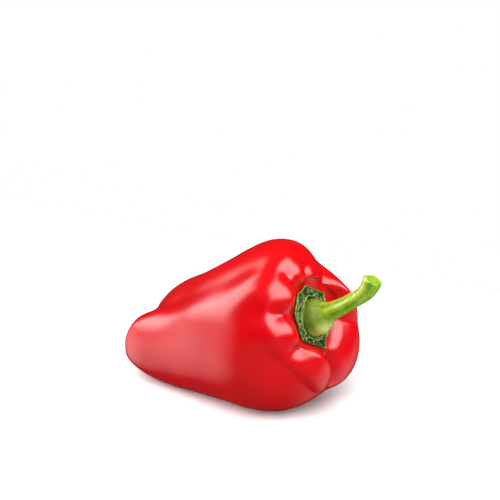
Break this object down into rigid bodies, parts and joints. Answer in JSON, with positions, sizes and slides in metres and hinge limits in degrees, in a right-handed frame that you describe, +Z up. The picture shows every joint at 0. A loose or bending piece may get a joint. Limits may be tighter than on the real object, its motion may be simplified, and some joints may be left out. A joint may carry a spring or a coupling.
{
  "type": "bell pepper",
  "caption": "Red bell pepper lying on its side: lobed, creased fruit, toothed green calyx in the hollow of its shoulders, and a ribbed, upturned stem.",
  "frame": {"origin": "under the middle of the pepper's bounding box, on the surface that it rests on", "axes": "+X along the pepper from its blossom end towards its stem, +Y to its left as seen from behind the blossom end, +Z up"},
  "size_m": [0.143, 0.0786, 0.0837],
  "materials": {
    "skin": "smooth waxy gloss",
    "calyx": "wrinkled, satin",
    "stem": "ribbed, satin"
  },
  "bodies": {
    "root": {"fruit": "skin", "calyx": "calyx", "stem": "stem"}
  },
  "joints": []
}
